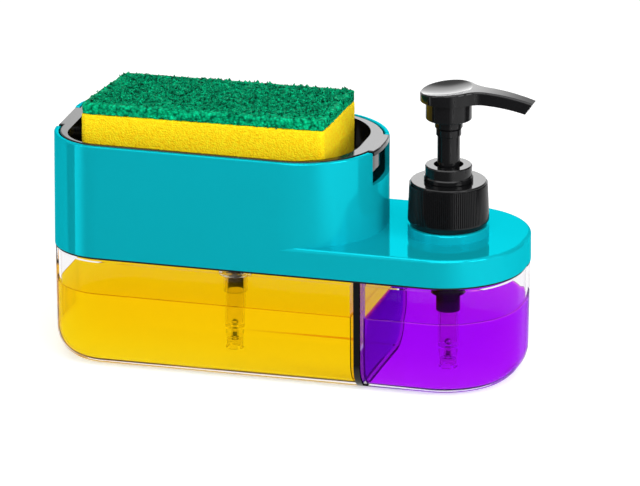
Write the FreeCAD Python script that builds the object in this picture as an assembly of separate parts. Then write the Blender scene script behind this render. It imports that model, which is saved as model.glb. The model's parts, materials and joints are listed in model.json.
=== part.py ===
import FreeCAD, Part
import math
import os

# Sink caddy: two clear soap tanks side by side under one moulded cover.
# The tall end of the cover holds a sponge tray that is pressed to pump dish soap.
# The low end carries a lotion pump for hand soap.
# Millimetres. The table is z = 0, +X points to the hand pump, x = 0 is half of the body's length.

# Body outline
housing_length = 156.4
deck_length = 68.6
body_depth = 85.0
left_end_flat = 31.0
right_end_flat = 8.0
housing_end_flat = 5.0

# Tanks
tank_height = 55.0
tank_wall = 2.2
tank_floor = 2.5
tank_reveal = 0.3
tank_draft = 1.0
tank_bottom_r = 14.0
shoulder_thickness = 2.2
tank_neck_wall = 2.0
tank_neck_gap = 0.6
seam_setback = 2.5
strip_width = 3.0
strip_band = 1.5
gasket_height = 1.0
gasket_inset = 0.5
dish_soap_level = 38.0
hand_soap_level = 38.0
soap_gap = 0.05
soap_well_gap = 0.6

# Cover
cover_wall = 2.2
skirt_height = 13.5
skirt_gap = 0.3
deck_thickness = 2.5
deck_edge_r = 1.6
housing_height = 41.3
rim_edge_r = 0.7
notch_half = 15.0
notch_gap = 2.1
notch_corner_r = 1.5
boss_reveal = 3.3
boss_height = 4.4
boss_edge_r = 0.8
neck_gap = 2.0
neck_wall = 5.8
neck_height = 17.5

# Sponge tray
tray_travel = 12.0
tray_gap = 0.6
tray_rim_left = 7.5
tray_rim_right = 10.2
tray_rim_side = 4.8
tray_left_flat = 39.4
tray_right_flat = 14.4
tray_depth = 17.0
tray_wall = 1.6
tray_floor = 2.0
tray_draft = 1.0
tray_bottom_r = 4.5
tray_lip_r = 0.7
flange_thickness = 2.4
tab_gap = 1.8
tab_reveal = 0.4
tab_wall = 1.6
tab_wall_setback = 4.2
tab_wall_height = 10.2
tray_rib_height = 1.5
tray_rib_width = 2.0
tray_rib_length = 46.0
tray_rib_pitch = 16.0
tray_ribs = 6
socket_wall = 2.56
socket_depth = 3.0
outlet_r = 6.0
outlet_thickness = 1.2
outlet_hole_r = 0.9
outlet_holes = 6
outlet_ring_r = 3.6

# Sponge
sponge_left_gap = 9.3
sponge_right_gap = 13.4
sponge_side_gap = 8.7
foam_thickness = 25.6
pad_thickness = 5.6
sponge_corner_r = 2.5
sponge_edge_r = 0.8
sponge_gap = 0.3

# Pump units, shared by both soaps
dish_offset = 5.0
hand_setback = 30.7
foot_clearance = 1.0
foot_height = 8.1
foot_r = 4.3
foot_wall = 1.0
foot_roof = 0.6
foot_bead = 0.35
foot_slots = 4
foot_slot_width = 1.8
foot_slot_height = 1.6
nipple_gap = 2.4
nipple_bore_r = 1.0
nipple_wall = 0.7
nipple_socket = 3.0
cylinder_length = 26.0
cylinder_bore_r = 3.6
cylinder_wall = 1.0
cylinder_floor = 2.0
ball_r = 1.6
ball_seat_width = 1.4
ball_gap = 0.05
sleeve_overlap = 9.9
sleeve_grip_wall = 1.05
sleeve_wall = 1.2
sleeve_gap = 0.4
seat_thickness = 1.5
seat_gap = 0.6
piston_height = 5.0
piston_gap = 0.08
piston_lip = 0.8
piston_waist = 0.4
rod_r = 2.2
rod_bore_r = 1.2
rod_in_stem = 10.0
rod_gap = 0.08
stem_r = 5.34
stem_gap = 0.1
stop_lip = 1.06
stop_height = 2.0
stop_gap = 0.2
push_gap = 0.05
washer_height = 1.0
wire_r = 0.4
coil_inset = 1.04
coil_gap = 0.15

# Dish pump fixing
dish_flange_width = 5.2
dish_flange_height = 1.8
dish_boss_wall = 2.0
dish_boss_height = 5.0
lock_gap = 0.3
lock_rim_height = 1.3
dish_spring_length = 16.5
dish_spring_turns = 5

# Hand pump closure, ring, stem and head
hand_travel = 16.0
hand_flange_setback = 0.8
hand_flange_height = 2.0
cap_thread_gap = 1.2
cap_wall = 2.2
cap_taper = 0.7
cap_rib_depth = 0.5
cap_ribs = 120
cap_band = 3.1
cap_chamfer = 1.2
cap_bead = 0.7
cap_bead_inset = 0.3
cap_plate = 2.6
cap_edge_r = 0.6
cap_gap = 0.3
ring_setback = 0.6
ring_flange_height = 2.7
ring_wall = 4.1
ring_bead = 0.5
ring_bead_height = 2.2
ring_height = 7.7
ring_bore_gap = 0.4
ring_bore_depth = 6.0
hand_spring_length = 26.5
hand_spring_turns = 7
head_reserve = 6.6
thread_lip = 1.26
thread_ring_height = 4.5
lower_lip = 0.61
lower_ring_height = 3.9
stem_chamfer = 0.5
collar_height = 9.2
collar_wall = 1.6
collar_space = 2.11
collar_edge_r = 0.5
collar_root = 1.0
post_wall = 1.8
stem_plug = 5.5
head_disc_r = 13.6
head_rear_rise = 3.7
head_rise = 6.3
head_peak_x = 13.0
nozzle_half = 4.7
nozzle_tip_half = 3.4
nozzle_blend_r = 12.0
nozzle_droop_x = 14.0
nozzle_tip_x = 41.4
nozzle_tip_cut = 3.6
nozzle_top_drop = 4.3
nozzle_bottom_drop = 3.2
head_edge_r = 0.9
head_dish_depth = 1.7
head_dish_edge = 1.2
head_dish_reach = 11.0
channel_r = 1.3
channel_start = 0.9
channel_rise = 2.1
channel_bend_x = 16.0
mouth_r = 1.9
mouth_depth = 5.0

# Places along the body
body_length = housing_length + deck_length
left_x = -body_length / 2
right_x = body_length / 2
housing_x = left_x + housing_length
seam_x = housing_x - seam_setback
dish_axis_x = (left_x + housing_x) / 2 + dish_offset
hand_axis_x = housing_x + hand_setback
tray_x0 = left_x + tray_rim_left
tray_x1 = housing_x - tray_rim_right
tray_half = body_depth / 2 - tray_rim_side
left_corner_r = (body_depth - left_end_flat) / 2
right_corner_r = (body_depth - right_end_flat) / 2
housing_end_r = (body_depth - housing_end_flat) / 2
tab_half = notch_half - tab_gap
tank_neck_inset = cover_wall + skirt_gap
far = 2 * body_length

# Radii of the pump pieces that run or seat in each other
nipple_r = nipple_bore_r + nipple_wall
ball_seat_r = nipple_bore_r + ball_seat_width
cylinder_r = cylinder_bore_r + cylinder_wall
sleeve_grip_r = cylinder_r + push_gap
sleeve_narrow_r = sleeve_grip_r + sleeve_grip_wall
stop_r = stem_r + stop_lip
sleeve_bore_r = stop_r + sleeve_gap
sleeve_wide_r = sleeve_bore_r + sleeve_wall
guide_r = stem_r + stem_gap
stem_bore_r = rod_r + rod_gap
coil_r = stem_r - coil_inset
socket_r = guide_r + socket_wall
dish_flange_r = sleeve_wide_r + dish_flange_width
lock_bore_r = dish_flange_r + lock_gap
lock_rim_r = lock_bore_r + dish_boss_wall
neck_bore_r = sleeve_wide_r + neck_gap
neck_r = neck_bore_r + neck_wall
boss_r = neck_r + boss_reveal
hand_flange_r = neck_r - hand_flange_setback
ring_flange_r = hand_flange_r - ring_setback
cap_bore_r = neck_r + cap_thread_gap
cap_base_r = cap_bore_r + cap_wall
cap_top_r = cap_base_r - cap_taper
thread_ring_r = stem_r + thread_lip
lower_ring_r = stem_r + lower_lip
ring_bore_r = thread_ring_r + ring_bore_gap
ring_r = ring_bore_r + ring_wall
post_r = stem_r + push_gap + post_wall
collar_r = post_r + collar_space + collar_wall

# Heights
skirt_z = tank_height + gasket_height
deck_z = skirt_z + skirt_height
deck_under = deck_z - deck_thickness
rim_z = deck_z + housing_height
tank_neck_top = deck_under - tank_neck_gap
tray_floor_z = rim_z - tray_depth
tray_under = tray_floor_z - tray_floor
flange_z = rim_z - flange_thickness
notch_z = flange_z - tray_travel - notch_gap
sponge_z = tray_floor_z + tray_rib_height + sponge_gap
foot_z = tank_floor + foot_clearance
foot_top = foot_z + foot_height
cylinder_z = foot_top + nipple_gap
cylinder_top = cylinder_z + cylinder_length
sleeve_z = cylinder_top - sleeve_overlap
step_z = cylinder_top + push_gap
seat_z = step_z + seat_thickness
piston_z = cylinder_top - piston_height
dish_flange_z = deck_z + washer_height
lock_z = dish_flange_z + dish_flange_height
dish_boss_top = deck_z + dish_boss_height
neck_top = deck_z + neck_height
hand_flange_z = neck_top + washer_height
ring_z = hand_flange_z + hand_flange_height
cap_plate_z = ring_z + ring_flange_height + cap_gap
cap_top = cap_plate_z + cap_plate
cap_z = deck_z + boss_height + cap_gap
ring_top = cap_top + ring_height
collar_z = ring_top + hand_travel + head_reserve
head_z = collar_z + collar_height

parts = {}


def vec(x, y, z):
    return FreeCAD.Vector(x, y, z)


def rounded_outline(x0, x1, half, r0, r1, z):
    # Closed outline in plan, radius r0 at the corners of x0 and r1 at the corners of x1.
    corners = [(x1 - r1, -half + r1, r1, -90), (x1 - r1, half - r1, r1, 0),
               (x0 + r0, half - r0, r0, 90), (x0 + r0, -half + r0, r0, 180)]
    arcs = []
    for cx, cy, r, start in corners:
        pts = []
        for turn in (0, 45, 90):
            a = math.radians(start + turn)
            pts.append(vec(cx + r * math.cos(a), cy + r * math.sin(a), z))
        arcs.append(pts)
    edges = []
    for i, pts in enumerate(arcs):
        edges.append(Part.Arc(*pts).toShape())
        after = arcs[(i + 1) % 4][0]
        if pts[2].distanceToPoint(after) > 1e-6:
            edges.append(Part.LineSegment(pts[2], after).toShape())
    return Part.Wire(edges)


def body_plan(inset, z):
    return rounded_outline(left_x + inset, right_x - inset, body_depth / 2 - inset,
                           left_corner_r - inset, right_corner_r - inset, z)


def housing_plan(inset, z):
    return rounded_outline(left_x + inset, housing_x - inset, body_depth / 2 - inset,
                           left_corner_r - inset, housing_end_r - inset, z)


def tray_plan(inset, z):
    return rounded_outline(tray_x0 + inset, tray_x1 - inset, tray_half - inset,
                           tray_half - tray_left_flat / 2 - inset, tray_half - tray_right_flat / 2 - inset, z)


def prism(wire, height):
    return Part.Face(wire).extrude(vec(0, 0, height))


def slab(x0, x1, y0, y1, z0, z1):
    return Part.makeBox(x1 - x0, y1 - y0, z1 - z0, vec(x0, y0, z0))


def rod(r, x, z0, z1):
    return Part.makeCylinder(r, z1 - z0, vec(x, 0, z0))


def turned(profile, x):
    # Solid of revolution about the upright line at x from (radius, height) points.
    pts = [vec(x + r, 0, z) for r, z in profile]
    face = Part.Face(Part.makePolygon(pts + pts[:1]))
    return face.revolve(vec(x, 0, 0), vec(0, 0, 1), 360)


def level_edges(shape, z):
    found = []
    for edge in shape.Edges:
        box = edge.BoundBox
        if abs(box.ZMin - z) < 1e-4 and abs(box.ZMax - z) < 1e-4:
            found.append(edge)
    return found


def keep(name, shape):
    solids = shape.Solids
    if len(solids) == 1:
        shape = solids[0]
    parts[name] = shape


def tank_block(inset, z0, z1, bottom_r):
    # Tapered block of the tank's outline with a rolled lower edge.
    low = body_plan(tank_reveal + inset + tank_draft, z0)
    high = body_plan(tank_reveal + inset, z1)
    block = Part.makeLoft([low, high], True, True)
    return block.makeFillet(bottom_r, level_edges(block, z0))


def tank(x0, x1, wall0, wall1):
    # x0 and x1 limit the outside. wall0 and wall1 are the walls that face the seam.
    outside = tank_block(0, 0, tank_height, tank_bottom_r)
    outside = outside.fuse(prism(body_plan(tank_neck_inset, tank_height), tank_neck_top - tank_height))
    outside = outside.common(slab(x0, x1, -far, far, -far, far))
    shoulder_z = tank_height - shoulder_thickness
    inside = tank_block(tank_wall, tank_floor, shoulder_z, tank_bottom_r - tank_wall)
    throat = prism(body_plan(tank_neck_inset + tank_neck_wall, shoulder_z), tank_neck_top - shoulder_z)
    inside = inside.fuse(throat)
    inside = inside.common(slab(x0 + wall0, x1 - wall1, -far, far, -far, far))
    return outside.cut(inside).removeSplitter()


def soap(x0, x1, level, axis_x):
    # Liquid up to its level, open round the pump so that the pump lifts out straight.
    fill = tank_block(tank_wall + soap_gap, tank_floor + soap_gap, tank_height - shoulder_thickness,
                      tank_bottom_r - tank_wall - soap_gap)
    fill = fill.common(slab(x0 + soap_gap, x1 - soap_gap, -far, far, 0, level))
    return fill.cut(rod(sleeve_narrow_r + soap_well_gap, axis_x, 0, level))


def build_tanks():
    left = seam_x - strip_width / 2
    right = seam_x + strip_width / 2
    keep("dish_tank", tank(-far, left, 0, tank_wall))
    keep("hand_tank", tank(right, far, tank_wall, 0))
    band = tank_block(0, 0, tank_height, tank_bottom_r)
    hollow = tank_block(strip_band, strip_band, tank_height, tank_bottom_r - strip_band)
    keep("tank_seam_strip", band.cut(hollow).common(slab(left, right, -far, far, 0, far)))
    keep("dish_soap", soap(-far, left - tank_wall, dish_soap_level, dish_axis_x))
    keep("hand_soap", soap(right + tank_wall, far, hand_soap_level, hand_axis_x))
    ring = prism(body_plan(gasket_inset, tank_height), gasket_height)
    keep("tank_gasket", ring.cut(prism(body_plan(cover_wall, tank_height), gasket_height)))


def notch_cutter():
    # Finger notch seen along X: rounded at the rim, square at the bottom.
    w = notch_half
    r = notch_corner_r
    s = r * math.sqrt(0.5)
    top = rim_z + r

    def at(y, z):
        return vec(-far, y, z)

    edges = [
        Part.LineSegment(at(-w, rim_z - r), at(-w, notch_z)).toShape(),
        Part.LineSegment(at(-w, notch_z), at(w, notch_z)).toShape(),
        Part.LineSegment(at(w, notch_z), at(w, rim_z - r)).toShape(),
        Part.Arc(at(w, rim_z - r), at(w + r - s, rim_z - r + s), at(w + r, rim_z)).toShape(),
        Part.LineSegment(at(w + r, rim_z), at(w + r, top)).toShape(),
        Part.LineSegment(at(w + r, top), at(-w - r, top)).toShape(),
        Part.LineSegment(at(-w - r, top), at(-w - r, rim_z)).toShape(),
        Part.Arc(at(-w - r, rim_z), at(-w - r + s, rim_z - r + s), at(-w, rim_z - r)).toShape(),
    ]
    return Part.Face(Part.Wire(edges)).extrude(vec(2 * far, 0, 0))


def build_cover():
    deck = prism(body_plan(0, skirt_z), skirt_height)
    deck = deck.makeFillet(deck_edge_r, level_edges(deck, deck_z))
    well = prism(housing_plan(0, skirt_z), rim_z - skirt_z)
    well = well.cut(prism(housing_plan(cover_wall, deck_z), rim_z - deck_z))
    well = well.makeFillet(rim_edge_r, level_edges(well, rim_z))
    well = well.cut(notch_cutter())
    shell = deck.fuse(well).removeSplitter()
    shell = shell.cut(prism(body_plan(cover_wall, skirt_z), deck_under - skirt_z))
    boss = rod(boss_r, hand_axis_x, deck_under, deck_z + boss_height)
    boss = boss.makeFillet(boss_edge_r, level_edges(boss, deck_z + boss_height))
    neck = rod(neck_r, hand_axis_x, deck_under, neck_top)
    shell = shell.fuse(boss).fuse(neck)
    shell = shell.cut(rod(neck_bore_r, hand_axis_x, deck_under, neck_top))
    shell = shell.fuse(rod(lock_rim_r, dish_axis_x, deck_under, dish_boss_top))
    shell = shell.cut(rod(lock_bore_r, dish_axis_x, deck_z, dish_boss_top))
    shell = shell.cut(rod(sleeve_wide_r + lock_gap, dish_axis_x, deck_under, deck_z))
    keep("cover", shell.removeSplitter())


def tray_basin():
    # Outside and inside of the basin, both drafted and rounded at the floor.
    outside = Part.makeLoft([tray_plan(tray_draft - tray_wall, tray_under),
                             tray_plan(-tray_wall, rim_z - tray_lip_r)], True, True)
    outside = outside.makeFillet(tray_bottom_r + tray_wall, level_edges(outside, tray_under))
    inside = Part.makeLoft([tray_plan(tray_draft, tray_floor_z), tray_plan(0, rim_z)], True, True)
    return outside, inside.makeFillet(tray_bottom_r, level_edges(inside, tray_floor_z))


def build_tray():
    plate = prism(housing_plan(cover_wall + tray_gap, flange_z), flange_thickness)
    span = slab(-far, far, -tab_half, tab_half, 0, far)
    plate = plate.fuse(prism(housing_plan(tab_reveal, flange_z), flange_thickness).common(span)).removeSplitter()
    plate = plate.makeFillet(tray_lip_r, level_edges(plate, rim_z))
    wall_z = flange_z - tab_wall_height
    grips = prism(housing_plan(tab_wall_setback, wall_z), tab_wall_height)
    grips = grips.cut(prism(housing_plan(tab_wall_setback + tab_wall, wall_z), tab_wall_height)).common(span)
    outside, inside = tray_basin()
    tray = plate.fuse(grips).fuse(outside).cut(inside)
    tray = tray.fuse(rod(socket_r, dish_axis_x, tray_under - socket_depth, tray_floor_z)).removeSplitter()
    first = dish_axis_x - tray_rib_pitch * (tray_ribs - 1) / 2
    for i in range(tray_ribs):
        x = first + i * tray_rib_pitch
        tray = tray.fuse(slab(x - tray_rib_width / 2, x + tray_rib_width / 2,
                              -tray_rib_length / 2, tray_rib_length / 2,
                              tray_floor_z - tray_floor / 2, tray_floor_z + tray_rib_height))
    tray = tray.cut(rod(guide_r, dish_axis_x, tray_under - socket_depth, tray_under))
    tray = tray.cut(rod(outlet_r + push_gap, dish_axis_x, tray_floor_z - outlet_thickness, rim_z))
    tray = tray.cut(rod(outlet_ring_r + outlet_hole_r, dish_axis_x, tray_under, tray_floor_z))
    keep("sponge_tray", tray.removeSplitter())
    rose = rod(outlet_r, dish_axis_x, tray_floor_z - outlet_thickness, tray_floor_z)
    for i in range(outlet_holes):
        a = 2 * math.pi * i / outlet_holes
        hole = rod(outlet_hole_r, dish_axis_x, 0, far)
        hole.translate(vec(outlet_ring_r * math.cos(a), outlet_ring_r * math.sin(a), 0))
        rose = rose.cut(hole)
    keep("soap_outlet", rose)


def build_sponge():
    outline = rounded_outline(tray_x0 + sponge_left_gap, tray_x1 - sponge_right_gap, tray_half - sponge_side_gap,
                              sponge_corner_r, sponge_corner_r, sponge_z)
    foam = prism(outline, foam_thickness)
    keep("sponge_foam", foam.makeFillet(sponge_edge_r, level_edges(foam, sponge_z)))
    outline.translate(vec(0, 0, foam_thickness))
    pad = prism(outline, pad_thickness)
    pad_top = sponge_z + foam_thickness + pad_thickness
    keep("scouring_pad", pad.makeFillet(sponge_edge_r, level_edges(pad, pad_top)))


def arc_from(start, apex, end):
    # Arc tangent to start-apex and apex-end, which are equally long.
    mid = (start + end) * 0.5
    half = start.distanceToPoint(end) / 2
    turn = math.acos(half / start.distanceToPoint(apex))
    toward = (apex - mid).normalize()
    return Part.Arc(start, mid + toward * (half * math.tan(turn / 2)), end).toShape()


def spring(axis_x, z0, z1, turns):
    # Round wire wound in half turns, each a pair of tangent arcs.
    low = z0 + wire_r + coil_gap
    high = z1 - wire_r - coil_gap
    rise = (high - low) / (2 * math.pi * turns)
    slope = math.hypot(coil_r, rise)

    def at(a):
        return vec(axis_x + coil_r * math.cos(a), coil_r * math.sin(a), low + rise * a)

    def along(a):
        return vec(-coil_r * math.sin(a), coil_r * math.cos(a), rise) * (1 / slope)

    edges = []
    for i in range(2 * turns):
        p0 = at(i * math.pi)
        p1 = at((i + 1) * math.pi)
        t0 = along(i * math.pi)
        t1 = along((i + 1) * math.pi)
        gap = p1 - p0
        b = gap.dot(t0 + t1)
        a = 2 * (1 - t0.dot(t1))
        reach = (-b + math.sqrt(b * b + a * gap.dot(gap))) / a
        q0 = p0 + t0 * reach
        q1 = p1 - t1 * reach
        joint = (q0 + q1) * 0.5
        edges.append(arc_from(p0, q0, joint))
        edges.append(arc_from(joint, q1, p1))
    circle = Part.Wire(Part.Circle(at(0), along(0), wire_r).toShape())
    coil = Part.Wire(edges).makePipeShell([circle], True, False)
    least = far
    steps = 36 * turns
    pts = [at(2 * math.pi * turns * k / steps) for k in range(steps + 1)]
    for i in range(0, steps - 18):
        for j in range(i + 18, min(i + 60, steps + 1)):
            least = min(least, pts[i].distanceToPoint(pts[j]) - 2 * wire_r)
    print("spring at x = %.1f: least gap to itself %.2f mm" % (axis_x, least))
    return coil


def pump_cylinder(x):
    # Clear tube with a ball seat in its floor and a nipple below.
    inner = cylinder_z + cylinder_floor
    low = foot_top - nipple_socket
    return turned([(nipple_bore_r, low), (nipple_r, low), (nipple_r, cylinder_z), (cylinder_r, cylinder_z),
                   (cylinder_r, cylinder_top), (cylinder_bore_r, cylinder_top), (cylinder_bore_r, inner),
                   (ball_seat_r, inner), (nipple_bore_r, inner - ball_seat_width)], x)


def inlet_ball(x):
    apex = cylinder_z + cylinder_floor - ball_seat_r
    return Part.makeSphere(ball_r, vec(x, 0, apex + ball_r * math.sqrt(2) + ball_gap))


def inlet_foot(x):
    # Strainer foot: beads at both ends, hollow below, slots at the tank's floor.
    bead = 2 * foot_bead
    waist = foot_r - foot_bead
    socket = foot_top - nipple_socket
    roof = socket - foot_roof
    body = turned([(nipple_bore_r, roof), (foot_r - foot_wall, roof), (foot_r - foot_wall, foot_z), (foot_r, foot_z),
                   (foot_r, foot_z + bead), (waist, foot_z + 2 * bead), (waist, foot_top - 2 * bead),
                   (foot_r, foot_top - bead), (foot_r, foot_top), (nipple_r + push_gap, foot_top),
                   (nipple_r + push_gap, socket), (nipple_bore_r, socket)], x)
    for i in range(foot_slots):
        slot = slab(0, 2 * foot_r, -foot_slot_width / 2, foot_slot_width / 2, foot_z, foot_z + foot_slot_height)
        slot.rotate(vec(0, 0, 0), vec(0, 0, 1), 360 * (i + 0.5) / foot_slots)
        slot.translate(vec(x, 0, 0))
        body = body.cut(slot)
    return body


def sleeve(x, top_z, flange_r, flange_height):
    # Stepped housing: flange, wide tube, spring seat and the narrow tube that grips the cylinder.
    seat_hole = rod_r + seat_gap
    return turned([(sleeve_grip_r, sleeve_z), (sleeve_narrow_r, sleeve_z), (sleeve_narrow_r, step_z),
                   (sleeve_wide_r, step_z), (sleeve_wide_r, top_z), (flange_r, top_z),
                   (flange_r, top_z + flange_height), (sleeve_bore_r, top_z + flange_height),
                   (sleeve_bore_r, seat_z), (seat_hole, seat_z), (seat_hole, step_z), (sleeve_grip_r, step_z)], x)


def piston(x):
    # Cup seal with thin lips, gripped on the end of the rod.
    r = cylinder_bore_r - piston_gap
    waist = r - piston_waist
    top = piston_z + piston_height
    return turned([(rod_r + push_gap, piston_z), (r, piston_z), (r, piston_z + piston_lip),
                   (waist, piston_z + 2 * piston_lip), (waist, top - 2 * piston_lip), (r, top - piston_lip),
                   (r, top), (rod_r + push_gap, top)], x)


def piston_rod(x, stem_z):
    # Hollow rod from the piston up into the stem.
    top = stem_z + rod_in_stem
    return rod(rod_r, x, piston_z, top).cut(rod(rod_bore_r, x, piston_z, top))


def washer(x, z, r, bore_r):
    return rod(r, x, z, z + washer_height).cut(rod(bore_r, x, z, z + washer_height))


def build_dish_pump():
    x = dish_axis_x
    stem_z = seat_z + dish_spring_length
    keep("dish_pump_cylinder", pump_cylinder(x))
    keep("dish_inlet_ball", inlet_ball(x))
    keep("dish_inlet_foot", inlet_foot(x))
    keep("dish_pump_sleeve", sleeve(x, dish_flange_z, dish_flange_r, dish_flange_height))
    keep("dish_pump_washer", washer(x, deck_z, dish_flange_r, sleeve_wide_r + lock_gap))
    lock_top = dish_boss_top + lock_rim_height
    keep("dish_lock_ring", turned([(guide_r, lock_z), (dish_flange_r, lock_z), (dish_flange_r, dish_boss_top),
                                   (lock_rim_r, dish_boss_top), (lock_rim_r, lock_top), (guide_r, lock_top)], x))
    stop_top = lock_z - stop_gap
    keep("dish_stem", turned([(stem_bore_r, stem_z), (stem_r, stem_z), (stem_r, stop_top - stop_height),
                              (stop_r, stop_top - stop_height), (stop_r, stop_top), (stem_r, stop_top),
                              (stem_r, tray_under), (stem_bore_r, tray_under)], x))
    keep("dish_piston_rod", piston_rod(x, stem_z))
    keep("dish_piston", piston(x))
    keep("dish_spring", spring(x, seat_z, stem_z, dish_spring_turns))


def ribbed_outline(x, r, z):
    # Toothed outline of the closure's grip ribs, r at the tips.
    pts = []
    for i in range(cap_ribs):
        for share, depth in ((0.0, 0.0), (0.5, 0.0), (0.75, cap_rib_depth)):
            a = 2 * math.pi * (i + share) / cap_ribs
            pts.append(vec(x + (r - depth) * math.cos(a), (r - depth) * math.sin(a), z))
    return Part.makePolygon(pts + pts[:1])


def build_closure():
    x = hand_axis_x
    keep("hand_pump_washer", washer(x, neck_top, hand_flange_r, neck_bore_r))
    rib_top = cap_top - 2 * cap_edge_r
    crown = rod(cap_top_r - cap_rib_depth, x, rib_top, cap_top)
    crown = crown.makeFillet(cap_edge_r, level_edges(crown, cap_top))
    rib_z = cap_z + cap_band
    ribs = Part.makeLoft([ribbed_outline(x, cap_base_r, rib_z), ribbed_outline(x, cap_top_r, rib_top)], True, True)
    band = turned([(0, cap_z), (cap_base_r - cap_chamfer, cap_z), (cap_base_r - cap_bead_inset, rib_z - cap_bead),
                   (cap_base_r, rib_z - cap_bead), (cap_base_r, rib_z), (0, rib_z)], x)
    cap = band.fuse(ribs).fuse(crown)
    cap = cap.cut(rod(cap_bore_r, x, cap_z, cap_plate_z))
    cap = cap.cut(rod(ring_r + cap_gap, x, cap_plate_z, cap_top))
    keep("hand_pump_cap", cap.removeSplitter())
    shelf = ring_top - ring_bore_depth
    bead = cap_top + cap_gap
    keep("hand_pump_ring", turned([(guide_r, ring_z), (ring_flange_r, ring_z),
                                   (ring_flange_r, ring_z + ring_flange_height), (ring_r, ring_z + ring_flange_height),
                                   (ring_r, bead), (ring_r + ring_bead, bead),
                                   (ring_r + ring_bead, bead + ring_bead_height - ring_bead),
                                   (ring_r, bead + ring_bead_height), (ring_r, ring_top - ring_bead),
                                   (ring_r - ring_bead, ring_top), (ring_bore_r, ring_top), (ring_bore_r, shelf),
                                   (guide_r, shelf)], x))


def build_hand_pump():
    x = hand_axis_x
    stem_z = seat_z + hand_spring_length
    keep("hand_pump_cylinder", pump_cylinder(x))
    keep("hand_inlet_ball", inlet_ball(x))
    keep("hand_inlet_foot", inlet_foot(x))
    keep("hand_pump_sleeve", sleeve(x, hand_flange_z, hand_flange_r, hand_flange_height))
    keep("hand_piston_rod", piston_rod(x, stem_z))
    keep("hand_piston", piston(x))
    keep("hand_spring", spring(x, seat_z, stem_z, hand_spring_turns))
    stop_top = ring_z - stop_gap
    thread_z = collar_z - thread_ring_height
    lower_z = thread_z - lower_ring_height
    top = collar_z + stem_plug
    keep("hand_stem", turned([(stem_bore_r, stem_z), (stem_r, stem_z), (stem_r, stop_top - stop_height),
                              (stop_r, stop_top - stop_height), (stop_r, stop_top), (stem_r, stop_top),
                              (stem_r, lower_z), (lower_ring_r, lower_z + stem_chamfer),
                              (lower_ring_r, thread_z - stem_chamfer), (stem_r, thread_z),
                              (thread_ring_r, thread_z + stem_chamfer), (thread_ring_r, collar_z),
                              (stem_r, collar_z), (stem_r, top), (stem_bore_r, top)], x))


def head_plan(x):
    # Thumb pad that flows into the nozzle, seen from above.
    side = nozzle_half + nozzle_blend_r
    cx = math.sqrt((head_disc_r + nozzle_blend_r) ** 2 - side ** 2)
    share = head_disc_r / (head_disc_r + nozzle_blend_r)
    pad_x = cx * share
    pad_y = side * share
    turn = (math.atan2(side - pad_y, pad_x - cx) + math.pi / 2) / 2
    mid_x = cx + nozzle_blend_r * math.cos(turn)
    mid_y = side - nozzle_blend_r * math.sin(turn)
    end = nozzle_tip_x + head_edge_r

    def at(px, py):
        return vec(x + px, py, head_z - far)

    edges = [
        Part.Arc(at(-head_disc_r, 0), at(0, -head_disc_r), at(pad_x, -pad_y)).toShape(),
        Part.Arc(at(pad_x, -pad_y), at(mid_x, -mid_y), at(cx, -nozzle_half)).toShape(),
        Part.LineSegment(at(cx, -nozzle_half), at(end, -nozzle_tip_half)).toShape(),
        Part.LineSegment(at(end, -nozzle_tip_half), at(end, nozzle_tip_half)).toShape(),
        Part.LineSegment(at(end, nozzle_tip_half), at(cx, nozzle_half)).toShape(),
        Part.Arc(at(cx, nozzle_half), at(mid_x, mid_y), at(pad_x, pad_y)).toShape(),
        Part.Arc(at(pad_x, pad_y), at(0, head_disc_r), at(-head_disc_r, 0)).toShape(),
    ]
    return prism(Part.Wire(edges), 2 * far)


def fall(x0, z0, x1, drop, px):
    # Height at px of a parabola that leaves (x0, z0) level and is lower by drop at x1.
    return z0 - drop * ((px - x0) / (x1 - x0)) ** 2


def head_profile(x):
    # Side view of the head: arched top, flat underside, drooping nozzle with a slanted end.
    def at(px, pz):
        return vec(x + px, -far, head_z + pz)

    rear = -head_disc_r - head_edge_r
    rear_x = (head_peak_x + rear) / 2
    top_x = (head_peak_x + nozzle_tip_x) / 2
    tip_rise = head_rise - nozzle_top_drop
    cut_x = nozzle_tip_x - nozzle_tip_cut
    low_x = (nozzle_droop_x + cut_x) / 2
    edges = [
        Part.Arc(at(rear, head_rear_rise),
                 at(rear_x, fall(head_peak_x, head_rise, rear, head_rise - head_rear_rise, rear_x)),
                 at(head_peak_x, head_rise)).toShape(),
        Part.Arc(at(head_peak_x, head_rise),
                 at(top_x, fall(head_peak_x, head_rise, nozzle_tip_x, nozzle_top_drop, top_x)),
                 at(nozzle_tip_x, tip_rise)).toShape(),
        Part.LineSegment(at(nozzle_tip_x, tip_rise), at(cut_x, -nozzle_bottom_drop)).toShape(),
        Part.Arc(at(cut_x, -nozzle_bottom_drop),
                 at(low_x, fall(nozzle_droop_x, 0, cut_x, nozzle_bottom_drop, low_x)),
                 at(nozzle_droop_x, 0)).toShape(),
        Part.LineSegment(at(nozzle_droop_x, 0), at(rear, 0)).toShape(),
        Part.LineSegment(at(rear, 0), at(rear, head_rear_rise)).toShape(),
    ]
    return Part.Face(Part.Wire(edges)).extrude(vec(0, 2 * far, 0))


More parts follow.
